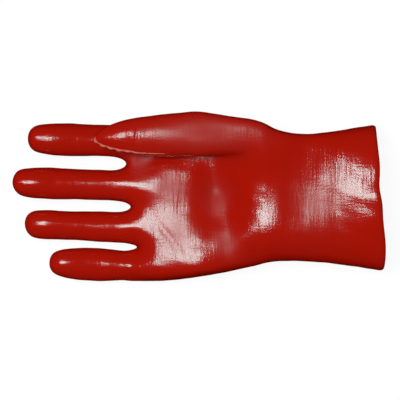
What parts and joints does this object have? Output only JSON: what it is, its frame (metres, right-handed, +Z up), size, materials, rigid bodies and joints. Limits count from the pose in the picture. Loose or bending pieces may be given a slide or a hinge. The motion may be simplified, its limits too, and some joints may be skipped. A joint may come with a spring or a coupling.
{
  "type": "coated work glove",
  "caption": "Right-hand work glove in a smooth dipped coating, lying palm up, with separate fingers, a thumb over the palm and an open gauntlet cuff.",
  "frame": {"origin": "bottom centre of the bounding box, on the surface that the glove lies on", "axes": "+X from the fingertips to the cuff's rim, +Y to the thumb's side, +Z up, out of the palm"},
  "size_m": [0.2688, 0.1226, 0.0466],
  "materials": {
    "coating": "smooth glossy red plastic coat over a knitted cotton liner"
  },
  "bodies": {
    "root": {"glove_shell": "coating"}
  },
  "joints": []
}
